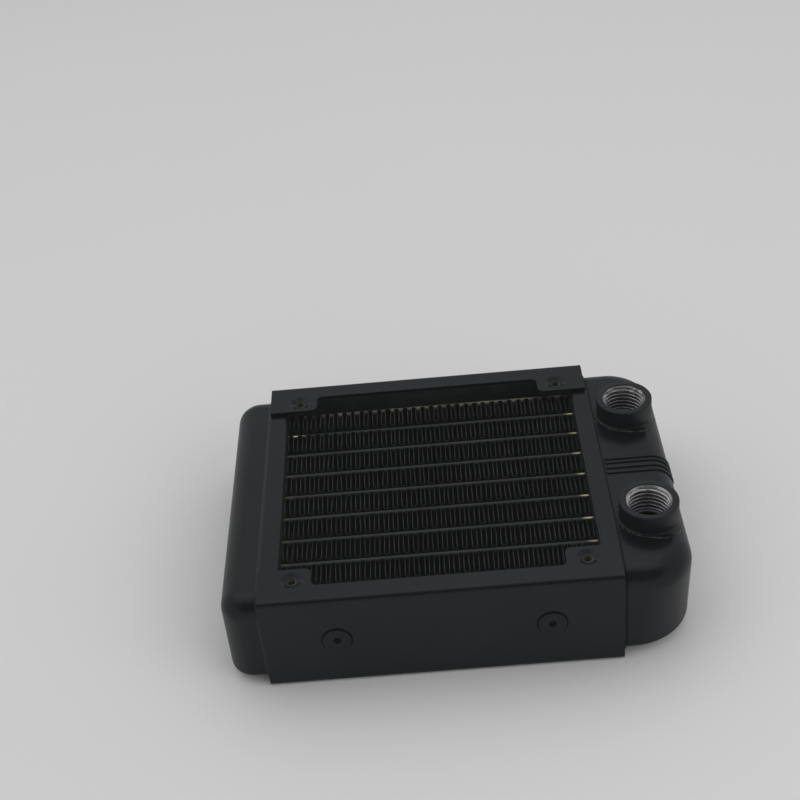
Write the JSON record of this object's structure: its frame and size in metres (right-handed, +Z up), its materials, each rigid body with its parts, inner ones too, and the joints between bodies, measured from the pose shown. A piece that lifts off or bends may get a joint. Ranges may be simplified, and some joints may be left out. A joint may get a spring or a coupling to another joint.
{
  "type": "liquid cooling radiator",
  "caption": "Compact flat-tube liquid cooling radiator: finned core between end tanks, C-shaped side rails with tapped fan holes, threaded hose ports on top of one tank.",
  "frame": {"origin": "centre of the bottom fan-hole pattern, in the plane that the rails' lower flanges stand on", "axes": "+X along the tubes towards the tank with the ports, +Y towards the back rail, +Z up, the way the ports open"},
  "size_m": [0.1334, 0.102, 0.0362],
  "materials": {
    "shell_paint": "satin black powder coat",
    "core_paint": "matte black paint, thin, with bright metal at some edges",
    "port_metal": "bare machined thread, black paint outside",
    "divider_brass": "bare rolled sheet"
  },
  "bodies": {
    "root": {"front_rail": "shell_paint", "back_rail": "shell_paint", "front_side_nuts": "shell_paint", "back_side_nuts": "shell_paint", "tube_1": "core_paint", "tube_2": "core_paint", "tube_3": "core_paint", "tube_4": "core_paint", "tube_5": "core_paint", "tube_6": "core_paint", "tube_7": "core_paint", "tube_8": "core_paint", "tube_9": "core_paint", "fin_1": "core_paint", "fin_2": "core_paint", "fin_3": "core_paint", "fin_4": "core_paint", "fin_5": "core_paint", "fin_6": "core_paint", "fin_7": "core_paint", "fin_8": "core_paint", "return_header": "shell_paint", "port_header": "shell_paint", "return_tank": "shell_paint", "return_seam_bead": "shell_paint", "port_tank": "shell_paint", "flow_divider": "divider_brass", "outlet_port": "port_metal", "outlet_collar": "shell_paint", "inlet_port": "port_metal", "inlet_collar": "shell_paint"}
  },
  "joints": []
}
